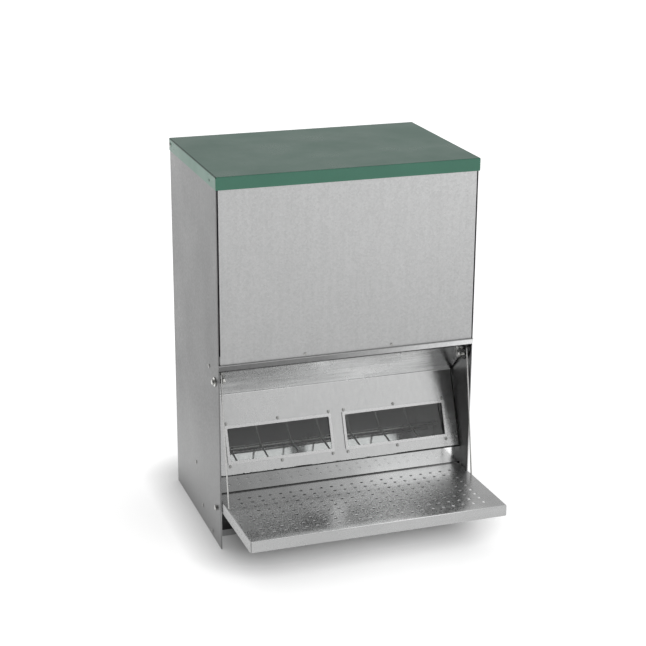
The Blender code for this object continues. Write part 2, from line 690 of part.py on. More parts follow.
# ---- assembly -----------------------------------------------------------------------------------
def build_body():
    rear_wall()
    front_panel()
    hopper_baffle()
    slope_plate()
    feed_trough()
    base_tray()
    anti_waste_grid()
    for side, sign in (("left", -1), ("right", 1)):
        side_wall(side, sign)
        pivot_bolt("flap", FLAP_AXIS, side, sign, 192 * MM, washer=True)
        pivot_bolt("treadle", TREADLE_AXIS, side, sign, 198 * MM, washer=False)
    side_rivets("baffle", BAFFLE_RIVET, NARROW_HALF - SHEET)
    side_rivets("slope", SLOPE_RIVET, NARROW_HALF - SHEET)
    side_rivets("trough", TROUGH_RIVET, NARROW_HALF - SHEET)
    side_rivets("tray", TRAY_RIVET, INSIDE_HALF - SHEET)
    lid_pins()


def build_moving_pieces():
    lid(axis_empty("lid_axis", LID_AXIS))
    flap_axis = axis_empty("flap_axis", FLAP_AXIS)
    flap_panel(flap_axis)
    flap_windows(flap_axis)
    treadle(axis_empty("treadle_axis", TREADLE_AXIS))
    pull_rod("left", -1)
    pull_rod("right", 1)


build_body()
build_moving_pieces()
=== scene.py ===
"""Looks for the treadle poultry feeder: materials, fine detail, studio and camera around the CAD frame."""

import math

import bmesh
import bpy
from mathutils import Matrix, Vector


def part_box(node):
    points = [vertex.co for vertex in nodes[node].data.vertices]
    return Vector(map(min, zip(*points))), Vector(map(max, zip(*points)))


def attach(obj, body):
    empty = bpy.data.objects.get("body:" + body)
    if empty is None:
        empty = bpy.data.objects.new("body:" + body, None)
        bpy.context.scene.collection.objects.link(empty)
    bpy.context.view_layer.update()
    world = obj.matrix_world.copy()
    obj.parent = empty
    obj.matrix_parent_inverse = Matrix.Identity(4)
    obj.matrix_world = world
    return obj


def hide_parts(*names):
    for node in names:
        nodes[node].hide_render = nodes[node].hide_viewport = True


MM = 0.001

# The camera's direction, roll, and distance from its target, its shift off that target, and its lens.
CAMERA_TARGET = Vector((0, 0, 0.3))
CAMERA_AZIMUTH = -18.892
CAMERA_ELEVATION = 18.728
CAMERA_ROLL = 0.309
CAMERA_DISTANCE = 2.6523
CAMERA_AIM = (0.0050, 0.0083)
CAMERA_LENS = 90.76
SENSOR_WIDTH = 36

# Studio: large soft lights as azimuth, elevation, inner and outer angle from the centre, and added strength,
# in a tent of even light with one dark opening, given by the same four angles and its depth.
LOBES = (
    (44, 26, 12, 40, 0.75),
    (0, 90, 25, 65, 0.5),
    (160, 20, 25, 65, 0.22),
)
TENT = 0.38
OPENING = (-27, 24, 16, 36)
OPENING_DEPTH = 0.93

# The floor, which glows except in a rectangle under the feeder, a painted contact shadow: its middle, half
# sizes, soft edge and tone.
FLOOR_SIZE = 60
FLOOR_HEIGHT = -0.0002
FLOOR_GLOW = 0.5
SHADED_MIDDLE = (0.0, 0.0)
SHADED_HALF = (0.15, 0.14)
SHADED_EDGE = 0.12
SHADED_TONE = 0.3

# Dimensions of the detailed pieces, the same as the CAD's.
SHEET = 0.8 * MM
HALF_WIDTH = 209 * MM
LIP_TOP = 307 * MM
LID_TOP = 600 * MM
TROUGH_FRONT = -106.6 * MM
TREADLE_AXIS = Vector((0, -116 * MM, 61.8 * MM))
TREADLE_TILT = math.radians(-1.735)
TREADLE_HALF = 206.8 * MM
TREADLE_REAR = 5 * MM
TREADLE_LENGTH = 184.9 * MM
TREADLE_RISE = 17.66 * MM
TREADLE_SKIRT = 17.5 * MM
TREADLE_SHEET = 1 * MM
TREADLE_FOLD = 1.1 * MM
TREADLE_EAR = ((6, 10), (6, -4), (3, -8), (-5, -8), (-16, 0), (-16, 8))
HOLE_PITCH = 17 * MM
HOLE_RADIUS = 2.5 * MM
HOLE_COLUMNS = 22
HOLE_ROWS = 9
HOLE_RIM = ((0.8 * MM, 0), (0.5 * MM, 0), (0, 0.2 * MM))
FLAP_AXIS = Vector((0, -116.5 * MM, 273 * MM))
FLAP_CREASE = Vector((0, -63.3 * MM, 229.4 * MM))
FLAP_BOTTOM = Vector((0, -109.8 * MM, 112 * MM))
ROD_FOOT = Vector((0, -167 * MM, 80.2 * MM))
ROD_HOOK = Vector((0, -130.8 * MM, 288.5 * MM))
ROD_X = 203.3 * MM
ROD_RADIUS = 1.25 * MM
GRID_FRONT = Vector((0, -102.5 * MM, 101.5 * MM))
GRID_BACK = Vector((0, -9.6 * MM, 112.5 * MM))
GRID_RADIUS = 1.5 * MM
GRID_WIRES = 7
GRID_PITCH = 52.5 * MM
GRID_DROP = 2.4 * MM
WINDOW_CENTRE = 98 * MM
WINDOW_SIZE = (168 * MM, 51.6 * MM)
WINDOW_MIDDLE = 45.9 * MM
FRAME_BORDER = 4.8 * MM
FRAME_THICKNESS = 1.2 * MM
PANE_SIZE = (182 * MM, 76.5 * MM)
PANE_THICKNESS = 1.5 * MM
WINDOW_RIVET = (85.3 * MM, 33.7 * MM)
BOLT_RADIUS = 2.4 * MM
HEX_WIDTH = 8 * MM
WASHER_RADIUS = 7.5 * MM
BOLT_HEAD = 3 * MM
THREAD_START = 6 * MM
THREAD_PITCH = 0.8 * MM
RIVET_RADIUS = 1.7 * MM
RIVET_GRIP = 2.2 * MM
SMALL_RIVET = 1.3 * MM
SMALL_RIVET_GRIP = 2 * MM
RIVET_HEAD = 2.05
PANEL_FACE = -140.5 * MM
GAP = 0.3 * MM
WELD_DISTANCE = 0.001 * MM

# Places where a look changes, each as the start and end of the change along one axis; most place painted
# shade.
LID_FOLD_SHADE_X = (208.4 * MM, 209.2 * MM)
LID_FOLD_SHADE_Z = (LID_TOP - 2.6 * MM, LID_TOP - 1.6 * MM)
WALL_OUTSIDE_X = (208.5 * MM, 208.8 * MM)
WALL_EDGE_Y = (-137 * MM, -135 * MM)
LIP_FOLD_Z = (LIP_TOP - 1.6 * MM, LIP_TOP - 0.8 * MM)
TROUGH_FRONT_Y = (TROUGH_FRONT + 1 * MM, TROUGH_FRONT + 2 * MM)
TROUGH_TOP_Z = (107.3 * MM, 107.9 * MM)
TREADLE_LINE_Z = (80.4 * MM, 81.4 * MM)
CREASE_Z = (FLAP_CREASE.z + 1 * MM, FLAP_CREASE.z + 3 * MM)
FLAP_TOP_Z = (290.5 * MM, 292.5 * MM)
FLAP_SIDE_X = (204.2 * MM, 204.8 * MM)

# A noise texture's usual lowest and highest value, and the same for how level a face is.
NOISE_RANGE = (0.3, 0.7)
LEVEL_RANGE = (0.3, 0.9)

# The zinc's crystal cells to a metre.
CRYSTALS = 330

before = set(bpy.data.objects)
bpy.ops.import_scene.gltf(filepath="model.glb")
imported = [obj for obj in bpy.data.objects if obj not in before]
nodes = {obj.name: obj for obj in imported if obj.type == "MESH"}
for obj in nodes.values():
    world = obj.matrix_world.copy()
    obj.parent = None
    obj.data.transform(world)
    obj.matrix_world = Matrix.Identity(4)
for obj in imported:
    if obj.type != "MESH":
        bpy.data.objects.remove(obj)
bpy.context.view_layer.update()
SIDES = (("left", -1), ("right", 1))


# ---- node helpers -------------------------------------------------------------------------------
class Tree:
    """A short way to add and link the nodes of a material or world."""

    def __init__(self, tree):
        self.tree = tree

    def add(self, kind, **inputs):
        node = self.tree.nodes.new(kind)
        for name, value in inputs.items():
            self.put(node.inputs[name.replace("_", " ")], value)
        return node

    def put(self, socket, value):
        if isinstance(value, bpy.types.NodeSocket):
            self.tree.links.new(value, socket)
        elif isinstance(value, (tuple, list)) and len(value) == 3 and len(socket.default_value) == 4:
            socket.default_value = (*value, 1.0)
        else:
            socket.default_value = value

    def math(self, operation, a, b=0.0):
        node = self.tree.nodes.new("ShaderNodeMath")
        node.operation = operation
        self.put(node.inputs[0], a)
        self.put(node.inputs[1], b)
        return node.outputs[0]

    def place(self, scale=(1, 1, 1)):
        """Object coordinates, which are the part's own metres, scaled per axis."""
        coordinates = self.add("ShaderNodeTexCoord")
        mapping = self.add("ShaderNodeMapping", Scale=scale)
        self.tree.links.new(coordinates.outputs["Object"], mapping.inputs["Vector"])
        return mapping.outputs[0]

    def noise(self, scale, detail, stretch=(1, 1, 1)):
        node = self.add("ShaderNodeTexNoise", Vector=self.place(stretch), Scale=scale, Detail=detail,
                        Roughness=0.55)
        return node.outputs["Fac"]

    def cells(self, scale):
        """A random value from 0 to 1 for each cell."""
        node = self.add("ShaderNodeTexVoronoi", Vector=self.place(), Scale=scale)
        split = self.add("ShaderNodeSeparateColor", Color=node.outputs["Color"])
        return split.outputs[0]

    def spread(self, value, low, high, from_low=0.0, from_high=1.0):
        """The value carried from one range to another, and held at the ends."""
        node = self.add("ShaderNodeMapRange", Value=value)
        node.inputs["From Min"].default_value = from_low
        node.inputs["From Max"].default_value = from_high
        node.inputs["To Min"].default_value = low
        node.inputs["To Max"].default_value = high
        return node.outputs[0]

    def grey(self, value, tint):
        """A colour whose brightness is the value and whose hue is the tint's."""
        node = self.tree.nodes.new("ShaderNodeVectorMath")
        node.operation = "SCALE"
        node.inputs[0].default_value = tint
        self.put(node.inputs["Scale"], value)
        return node.outputs[0]

    def bump(self, height, distance, strength=1.0, normal=None):
        node = self.add("ShaderNodeBump", Height=height, Distance=distance, Strength=strength)
        if normal is not None:
            self.tree.links.new(normal, node.inputs["Normal"])
        return node.outputs[0]


def new_material(name):
    material = bpy.data.materials.new(name)
    material.use_nodes = True
    shader = material.node_tree.nodes["Principled BSDF"]
    return material, Tree(material.node_tree), shader


# ---- patterns across single pieces --------------------------------------------------------------
def facing_up(tree):
    """How level the surface is: 1 for a horizontal one and 0 for an upright one."""
    normal = tree.add("ShaderNodeNewGeometry").outputs["True Normal"]
    return tree.math("ABSOLUTE", tree.add("ShaderNodeSeparateXYZ", Vector=normal).outputs[2])


def place_on_part(tree):
    """The x, y and z of a point on the part, in metres."""
    return tree.add("ShaderNodeSeparateXYZ", Vector=tree.place()).outputs


def lid_fold_shade(tree):
    """1 on the lid, falling to a painted shade line just below the folds of its side flanges."""
    x, _, z = place_on_part(tree)
    beside = tree.spread(tree.math("ABSOLUTE", x), 0.0, 1.0, *LID_FOLD_SHADE_X)
    above = tree.spread(z, 0.0, 0.6, *LID_FOLD_SHADE_Z)
    return tree.math("SUBTRACT", 1.0, tree.math("MULTIPLY", beside, above))


def front_painted_light(tree):
    """Painted light: brighter towards the top right; the folded lip is a painted reflection of shade, lighter
    to the right.
    """
    x, _, z = place_on_part(tree)
    across = tree.spread(x, 0.0, 1.0, -HALF_WIDTH, HALF_WIDTH)
    height = tree.spread(z, 0.0, 1.0, LIP_TOP, 0.58)
    rise = tree.math("MULTIPLY", height, tree.math("ADD", tree.math("MULTIPLY", across, 0.13), 0.18))
    sheet = tree.math("ADD", tree.math("ADD", rise, 0.97), tree.math("MULTIPLY", across, 0.05))
    # Painted reflection: the lip is dark where it mirrors the shaded treadle and floor, and lighter towards
    # the right.
    lip = tree.math("ADD", tree.spread(across, 0.42, 0.72),
                    tree.math("ADD", tree.spread(across, 0.0, 0.75, 0.4, 0.8),
                              tree.spread(across, 0.0, 0.3, 0.86, 1.0)))
    share = tree.spread(z, 0.0, 1.0, *LIP_FOLD_Z)
    kept = tree.math("MULTIPLY", sheet, share)
    return tree.math("ADD", kept, tree.math("MULTIPLY", lip, tree.math("SUBTRACT", 1.0, share)))


def trough_painted_shade(tree):
    """Painted shadow lines on the front at the top edge and at the treadle; painted brighter to the right."""
    x, y, z = place_on_part(tree)
    # Painted shadow in the gaps at the trough's top edge and where the treadle's rear edge passes.
    front = tree.spread(y, 1.0, 0.0, *TROUGH_FRONT_Y)
    top = tree.spread(z, 0.0, 0.9, *TROUGH_TOP_Z)
    foot = tree.spread(z, 0.85, 0.0, *TREADLE_LINE_Z)
    lines = tree.math("MULTIPLY", tree.math("MAXIMUM", top, foot), front)
    inside = tree.spread(y, 1.0, 0.6, *TROUGH_FRONT_Y)
    # Painted light: brighter towards the right, and darker inside.
    across = tree.math("ADD", tree.spread(x, 0.58, 0.72, -0.2, 0.0), tree.spread(x, 0.0, 0.85, 0.02, 0.17))
    across = tree.math("MULTIPLY", across, inside)
    return tree.math("MULTIPLY", tree.math("SUBTRACT", 1.0, lines), across)


def treadle_streaks_and_painted_light(tree):
    """Painted light and shade: folded edges duller than the flat, which is brightest in the middle and
    dullest at the right.
    """
    x, _, _ = place_on_part(tree)
    streak = tree.spread(tree.noise(6, 2.0, stretch=(1, 0.35, 1)), 0.85, 1.15, *NOISE_RANGE)
    middle = tree.spread(tree.math("ABSOLUTE", tree.math("SUBTRACT", x, 0.02)), 1.32, 0.98, 0.02, 0.12)
    # Painted light from the reflections across the treadle: brightest in the middle, dullest at the right.
    painted_light_across = tree.math("MULTIPLY", middle, tree.spread(x, 1.0, 0.66, 0.1, 0.19))
    flat = tree.spread(facing_up(tree), 0.0, 1.0, *LEVEL_RANGE)
    level = tree.math("MULTIPLY", tree.math("MULTIPLY", streak, painted_light_across), flat)
    return tree.math("ADD", level, tree.math("MULTIPLY", tree.math("SUBTRACT", 1.0, flat), 0.6))


def wall_painted_light(tree):
    """Painted light and shade: outside, dullest at mid height and on the folded front edge; inside, brighter.
    """
    x, y, z = place_on_part(tree)
    # Painted light and shade by height, a painted dark front edge, and a painted brighter inside.
    upper = tree.spread(z, 0.86, 1.14, 0.35, 0.58)
    lower = tree.spread(z, 0.75, 0.0, 0.04, 0.22)
    inside = tree.spread(tree.math("ABSOLUTE", x), 2.4, 1.0, *WALL_OUTSIDE_X)
    edge = tree.spread(y, 0.55, 1.0, *WALL_EDGE_Y)
    return tree.math("MULTIPLY", tree.math("ADD", upper, lower), tree.math("MULTIPLY", inside, edge))


def flap_streaks_and_painted_shade(tree):
    """Above the crease are long streaks and a middle painted brighter; the top and side edges have painted
    shadow.
    """
    x, _, z = place_on_part(tree)
    streak = tree.spread(tree.noise(38, 3.0, stretch=(0.12, 1, 1)), 0.72, 1.5, *NOISE_RANGE)
    middle = tree.spread(tree.math("ABSOLUTE", tree.math("SUBTRACT", x, 0.04)), 1.5, 0.95, 0.0, 0.16)
    upper = tree.spread(z, 0.0, 1.0, *CREASE_Z)
    change = tree.math("SUBTRACT", tree.math("MULTIPLY", streak, middle), 1.0)
    # Painted shadow: the gap under the lip and the gaps beside the side walls darken the flap's edges.
    top = tree.spread(z, 1.0, 0.1, *FLAP_TOP_Z)
    sides = tree.spread(tree.math("ABSOLUTE", x), 1.0, 0.1, *FLAP_SIDE_X)
    painted_gap_shadow = tree.math("MINIMUM", top, sides)
    return tree.math("MULTIPLY", tree.math("ADD", tree.math("MULTIPLY", change, upper), 1.0), painted_gap_shadow)


def trough_roughness(tree):
    """The trough's front is nearly bright; inside, feed has scoured it dull."""
    _, y, _ = place_on_part(tree)
    return tree.spread(y, 0.11, 0.42, *TROUGH_FRONT_Y)


# ---- materials ----------------------------------------------------------------------------------
def galvanised(name, tone, roughness, spangle, cloud, wave=0.0006, grain=(1, 1, 0.06), painted_light_and_streaks=None,
               pits=0.00002):
    """Zinc-coated sheet: small crystal cells, soft clouding, faint roll lines and a slight waviness.

    roughness is a number or a function that adds nodes and returns their output, and the brightness function,
    if given, is such a function too, mostly painting light and shade onto the sheet."""
    material, tree, shader = new_material(name)
    small = tree.spread(tree.cells(CRYSTALS), -spangle, spangle)
    fine = tree.spread(tree.noise(900, 2.0), -spangle, spangle, *NOISE_RANGE)
    soft = tree.spread(tree.noise(7, 4.0), -cloud, cloud, *NOISE_RANGE)
    lines = tree.spread(tree.noise(160, 2.0, stretch=grain), -0.025, 0.025, *NOISE_RANGE)
    total = tree.math("ADD", tree.math("ADD", small, fine), tree.math("ADD", soft, lines))
    brightness = tree.math("MULTIPLY", tree.math("ADD", total, 1.0), tone)
    if painted_light_and_streaks is not None:
        brightness = tree.math("MULTIPLY", brightness, painted_light_and_streaks(tree))
    tree.put(shader.inputs["Base Color"], tree.grey(brightness, (0.995, 1.0, 1.0)))
    shader.inputs["Metallic"].default_value = 1.0
    gloss = tree.math("ADD", tree.spread(tree.cells(CRYSTALS), -0.04, 0.04),
                      tree.spread(soft, -0.05, 0.05, -cloud, cloud))
    middle_roughness = roughness(tree) if callable(roughness) else roughness
    tree.put(shader.inputs["Roughness"], tree.math("ADD", gloss, middle_roughness))
    large = tree.bump(tree.noise(5, 1.0), wave)
    small_bump = tree.bump(tree.noise(420, 2.0), pits, 0.6, large)
    tree.put(shader.inputs["Normal"], small_bump)
    return material


def painted(name, colour, roughness):
    """Semi-gloss paint with a little orange peel and uneven gloss, painted darker on top than on the flanges:
    painted shade.
    """
    material, tree, shader = new_material(name)
    soft = tree.spread(tree.noise(9, 3.0), 0.95, 1.05, *NOISE_RANGE)
    speck = tree.spread(tree.noise(700, 2.0), 0.97, 1.03, *NOISE_RANGE)
    # Painted shade: level faces are painted darker and upright flanges lighter, for weaker light from above
    # than from the front.
    dull = tree.math("MULTIPLY", tree.spread(facing_up(tree), 1.28, 0.8, *LEVEL_RANGE), lid_fold_shade(tree))
    shade_of_it = tree.math("MULTIPLY", tree.math("MULTIPLY", soft, speck), dull)
    tree.put(shader.inputs["Base Color"], tree.grey(shade_of_it, colour))
    # The painted shade line along the flange folds also takes the gloss off there.
    tree.put(shader.inputs["Specular IOR Level"], tree.math("MULTIPLY", lid_fold_shade(tree), 0.5))
    gloss = tree.spread(tree.noise(14, 4.0), roughness - 0.04, roughness + 0.05, *NOISE_RANGE)
    tree.put(shader.inputs["Roughness"], gloss)
    peel = tree.bump(tree.noise(380, 1.5), 0.00002, 0.5, tree.bump(tree.noise(5, 1.0), 0.0004))
    tree.put(shader.inputs["Normal"], peel)
    return material


def plain_metal(name, colour, roughness, scratch=0.05):
    """Plated or bare small metal parts with fine brushed wear."""
    material, tree, shader = new_material(name)
    wear = tree.spread(tree.noise(600, 3.0), 1 - scratch, 1 + scratch, *NOISE_RANGE)
    tree.put(shader.inputs["Base Color"], tree.grey(wear, colour))
    shader.inputs["Metallic"].default_value = 1.0
    gloss = tree.spread(tree.noise(500, 3.0), roughness - 0.08, roughness + 0.08, *NOISE_RANGE)
    tree.put(shader.inputs["Roughness"], gloss)
    tree.put(shader.inputs["Normal"], tree.bump(tree.noise(900, 2.0), 0.00002, 0.5))
    return material


def clear_plastic(name):
    """A clear pane: glass to the eye, and see-through for lamps."""
    material, tree, shader = new_material(name)
    smear = tree.spread(tree.noise(25, 4.0), 0.0, 0.05, 0.4, 0.8)
    tree.put(shader.inputs["Base Color"], (0.95, 0.965, 0.96))
    tree.put(shader.inputs["Roughness"], smear)
    shader.inputs["Transmission Weight"].default_value = 1.0
    shader.inputs["IOR"].default_value = 1.45
    through = tree.add("ShaderNodeBsdfTransparent", Color=(0.88, 0.9, 0.89))
    rays = tree.add("ShaderNodeLightPath")
    mix = tree.add("ShaderNodeMixShader", Fac=rays.outputs["Is Shadow Ray"])
    tree.tree.links.new(shader.outputs[0], mix.inputs[1])
    tree.tree.links.new(through.outputs[0], mix.inputs[2])
    output = tree.tree.nodes["Material Output"]
    tree.tree.links.new(mix.outputs[0], output.inputs["Surface"])
    return material


def floor_material():
    """A white sweep with a glow of its own that is out, and a tone that is darker, under the feeder: a
    painted contact shadow.
    """
    material, tree, shader = new_material("studio_floor")
    tone = tree.spread(tree.noise(3, 2.0), 0.89, 0.91, *NOISE_RANGE)
    shader.inputs["Roughness"].default_value = 0.9
    shader.inputs["Specular IOR Level"].default_value = 0.0
    shader.inputs["Emission Color"].default_value = (1, 1, 1, 1)
    place = place_on_part(tree)
    outside = []
    for axis in range(2):
        away = tree.math("ABSOLUTE", tree.math("SUBTRACT", place[axis], SHADED_MIDDLE[axis]))
        outside.append(tree.math("MAXIMUM", tree.math("SUBTRACT", away, SHADED_HALF[axis]), 0.0))
    squares = [tree.math("POWER", distance, 2.0) for distance in outside]
    distance = tree.math("SQRT", tree.math("ADD", *squares))
    lit = tree.spread(distance, 0.0, 1.0, 0.0, SHADED_EDGE)
    tree.put(shader.inputs["Emission Strength"], tree.math("MULTIPLY", lit, FLOOR_GLOW))
    tone = tree.math("MULTIPLY", tone, tree.spread(lit, SHADED_TONE, 1.0))
    tree.put(shader.inputs["Base Color"], tree.grey(tone, (1, 1, 1)))
    return material


# Most of the brightness functions given here paint light and shade onto the sheets: shadow lines, lit sides,
# reflections.
SHEET_LOOKS = {
    "front": galvanised("sheet_front", 0.42, 0.42, spangle=0.07, cloud=0.05, painted_light_and_streaks=front_painted_light),
    "rear": galvanised("sheet_rear", 0.42, 0.42, spangle=0.07, cloud=0.05),
    "side": galvanised("sheet_side", 0.185, 0.36, spangle=0.04, cloud=0.07, painted_light_and_streaks=wall_painted_light),
    "flap": galvanised("sheet_flap", 0.58, 0.24, spangle=0.02, cloud=0.07, wave=0.0011,
                       painted_light_and_streaks=flap_streaks_and_painted_shade, pits=0.00001),
    "trough": galvanised("sheet_trough", 0.6, trough_roughness, spangle=0.03, cloud=0.07,
                         painted_light_and_streaks=trough_painted_shade),
    "treadle": galvanised("sheet_treadle", 0.72, 0.27, spangle=0.015, cloud=0.08, wave=0.0004,
                          grain=(0.06, 1, 1), painted_light_and_streaks=treadle_streaks_and_painted_light, pits=0.000004),
    "inner": galvanised("sheet_inner", 0.5, 0.12, spangle=0.03, cloud=0.06),
}
PAINT = painted("green_paint_semi_gloss", (0.03, 0.128, 0.083), 0.3)
ZINC = plain_metal("zinc_plated", (0.6, 0.6, 0.58), 0.28)
WIRE = plain_metal("wire_zinc", (0.5, 0.5, 0.49), 0.3)
ALLOY = plain_metal("rivet_alloy", (0.42, 0.42, 0.41), 0.33)
FRAME_METAL = plain_metal("window_frame_metal", (0.66, 0.66, 0.66), 0.28)
PLASTIC = clear_plastic("clear_window_plastic")


# The finished material for a CAD node: the first entry whose word is in the node's name.
CAD_MATERIALS = (
    ("rivet", ALLOY),
    ("lid_pin", ALLOY),
    ("bolt", ZINC),
    ("nut", ZINC),
    ("washer", ZINC),
    ("window_frame", FRAME_METAL),
    ("window_pane", PLASTIC),
    ("pull_rod", WIRE),
    ("anti_waste_grid", WIRE),
    ("front_panel", SHEET_LOOKS["front"]),
    ("rear_wall", SHEET_LOOKS["rear"]),
    ("side_wall", SHEET_LOOKS["side"]),
    ("flap_panel", SHEET_LOOKS["flap"]),
    ("feed_trough", SHEET_LOOKS["trough"]),
    ("treadle", SHEET_LOOKS["treadle"]),
    ("hopper_baffle", SHEET_LOOKS["inner"]),
    ("slope_plate", SHEET_LOOKS["inner"]),
    ("base_tray", SHEET_LOOKS["inner"]),
    ("lid", PAINT),
)


def dress_cad_nodes():
    for name, obj in nodes.items():
        material = next(material for word, material in CAD_MATERIALS if word in name)
        for slot in obj.material_slots:
            slot.material = material


# ---- piece helpers ------------------------------------------------------------------------------
def piece(name, mesh, body, slot, material, *replaced, smooth=40):
    """Put a finished mesh in the scene as a piece that rides on a body and stands for some CAD nodes."""
    mesh.name = name
    mesh.materials.clear()
    mesh.materials.append(material)
    shade(mesh, smooth)
    obj = bpy.data.objects.new(name, mesh)
    bpy.context.scene.collection.objects.link(obj)
    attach(obj, body)
    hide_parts(*replaced)


def shade(mesh, angle):
    """Smooth shading, with every edge sharper than the angle kept crisp."""
    work = bmesh.new()
    work.from_mesh(mesh)
    for face in work.faces:
        face.smooth = True
        face.material_index = 0
    for edge in work.edges:
        edge.smooth = len(edge.link_faces) == 2 and edge.calc_face_angle(0) < math.radians(angle)
    work.to_mesh(mesh)
    work.free()


def final_mesh(data, matrix=None, modifiers=()):
    """The mesh made by a curve or a mesh with modifiers, placed by a matrix."""
    obj = bpy.data.objects.new("work", data)
    bpy.context.scene.collection.objects.link(obj)
    for kind, settings in modifiers:
        modifier = obj.modifiers.new(kind.lower(), kind)
        for name, value in settings.items():
            setattr(modifier, name, value)
    bpy.context.view_layer.update()
    graph = bpy.context.evaluated_depsgraph_get()
    mesh = bpy.data.meshes.new_from_object(obj.evaluated_get(graph), depsgraph=graph)
    bpy.data.objects.remove(obj)
    if matrix is not None:
        mesh.transform(matrix)
    return mesh


def joined(meshes):
    """One mesh made of several."""
    work = bmesh.new()
    for mesh in meshes:
        work.from_mesh(mesh)
    result = bpy.data.meshes.new("joined")
    work.to_mesh(result)
    work.free()
    return result


def circle(radius, count=24, centre=(0, 0)):
    x, y = centre
    angles = [i * (2 * math.pi / count) for i in range(count)]
    return [(x + radius * math.cos(angle), y + radius * math.sin(angle)) for angle in angles]


def hexagon(across_flats):
    return circle(across_flats / math.sqrt(3), 6)


def rectangle(width, height, corner, steps=5):
    """A rectangle's outline with round corners."""
    points = []
    for quarter, (side_x, side_y) in enumerate(((1, 1), (-1, 1), (-1, -1), (1, -1))):
        middle = (side_x * (width / 2 - corner), side_y * (height / 2 - corner))
        for step in range(steps + 1):
            angle = math.pi / 2 * (quarter + step / steps)
            points.append((middle[0] + corner * math.cos(angle), middle[1] + corner * math.sin(angle)))
    return points


def plate(loops, low, high, bevel, matrix):
    """A flat plate with rounded edges: the first loop is its outline and the others are holes."""
    curve = bpy.data.curves.new("plate", "CURVE")
    curve.dimensions = "2D"
    curve.fill_mode = "BOTH"
    curve.extrude = (high - low) / 2 - bevel
    curve.bevel_depth = bevel
    curve.bevel_resolution = 2
    curve.offset = -bevel
    for loop in loops:
        spline = curve.splines.new("POLY")
        spline.points.add(len(loop) - 1)
        spline.use_cyclic_u = True
        for point, (x, y) in zip(spline.points, loop):
            point.co = (x, y, 0, 1)
    mesh = final_mesh(curve, matrix @ Matrix.Translation((0, 0, (low + high) / 2)))
    return welded(mesh)


def welded(mesh):
    """The same mesh as one closed skin."""
    work = bmesh.new()
    work.from_mesh(mesh)
    bmesh.ops.remove_doubles(work, verts=work.verts, dist=WELD_DISTANCE)
    bmesh.ops.recalc_face_normals(work, faces=work.faces)
    work.to_mesh(mesh)
    work.free()
    return mesh


def wire(points, radius):
    """A round wire through the points, with closed ends."""
    curve = bpy.data.curves.new("wire", "CURVE")
    curve.dimensions = "3D"
    curve.bevel_depth = radius
    curve.bevel_resolution = 3
    curve.use_fill_caps = True
    spline = curve.splines.new("POLY")
    spline.points.add(len(points) - 1)
    for point, place in zip(spline.points, points):
        point.co = (*place, 1)
    return welded(final_mesh(curve))


def rounded_path(corners, radius, steps=5):
    """The path through the corners with each inner corner rounded."""
    corners = [Vector(corner) for corner in corners]
    path = [corners[0]]
    for before, corner, after in zip(corners, corners[1:], corners[2:]):
        reach = min(radius, (before - corner).length / 2, (after - corner).length / 2)
        start = corner + (before - corner).normalized() * reach
        end = corner + (after - corner).normalized() * reach
        for step in range(steps + 1):
            t = step / steps
            path.append((1 - t) ** 2 * start + 2 * t * (1 - t) * corner + t * t * end)
    path.append(corners[-1])
    return path


def lathe(profile, place, outwards, steps=28):
    """A solid turned from (radius, along) points about a direction; the points start and end on the axis."""
    work = bmesh.new()
    verts = [work.verts.new((radius, 0, along)) for radius, along in profile]
    edges = [work.edges.new(pair) for pair in zip(verts, verts[1:])]
    bmesh.ops.spin(work, geom=verts + edges, axis=(0, 0, 1), cent=(0, 0, 0), angle=2 * math.pi, steps=steps)
    mesh = bpy.data.meshes.new("lathe")
    work.to_mesh(mesh)
    work.free()
    turn = Vector(outwards).to_track_quat("Z", "Y").to_matrix().to_4x4()
    mesh.transform(Matrix.Translation(place) @ turn)
    return welded(mesh)


def reach_along_x(name):
    """The nearest and farthest distance of a CAD node from the middle plane."""
    low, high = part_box(name)
    return min(abs(low[0]), abs(high[0])), max(abs(low[0]), abs(high[0]))


def middle_of(name):
    low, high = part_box(name)
    return (Vector(low) + Vector(high)) / 2


# ---- rivets and bolts ---------------------------------------------------------------------------
def rivet_mesh(place, outwards, radius, grip):
    """A blind rivet: a domed head with the hole left by its mandrel, and the bulb behind the sheets."""
    head = RIVET_HEAD * radius
    profile = ((0, 0.3 * radius), (0.36 * radius, 0.3 * radius), (0.44 * radius, 0.86 * radius),
               (0.3 * head, 0.93 * radius), (0.5 * head, 0.85 * radius), (0.7 * head, 0.66 * radius),
               (0.86 * head, 0.42 * radius), (0.97 * head, 0.2 * radius + GAP), (head, 0.05 * radius + GAP),
               (0.97 * head, GAP), (radius, GAP), (radius, -grip), (1.5 * radius, -grip),
               (1.5 * radius, -grip - 0.8 * radius), (1.1 * radius, -grip - 1.2 * radius),
               (0, -grip - 1.3 * radius))
    return lathe(profile, place, outwards)


def body_rivets():
    for label in ("baffle", "slope", "trough", "tray"):
        for side, sign in SIDES:
            name = f"{label}_rivet_{side}"
            middle = middle_of(name)
            place = (sign * HALF_WIDTH, middle.y, middle.z)
            mesh = rivet_mesh(place, (sign, 0, 0), RIVET_RADIUS, RIVET_GRIP)
            piece(f"{name}_fine", mesh, "cabinet", "rivet_alloy", ALLOY, name)
    for side, _ in SIDES:
        name = f"front_panel_rivet_{side}"
        middle = middle_of(name)
        place = (middle.x, PANEL_FACE, middle.z)
        mesh = rivet_mesh(place, (0, -1, 0), SMALL_RIVET, SMALL_RIVET_GRIP)
        piece(f"{name}_fine", mesh, "cabinet", "rivet_alloy", ALLOY, name)


def along_x(axis, sign):
    """A frame at a pivot axis whose own z runs outwards from the middle plane."""
    turn = Vector((sign, 0, 0)).to_track_quat("Z", "Y").to_matrix().to_4x4()
    return Matrix.Translation(axis) @ turn


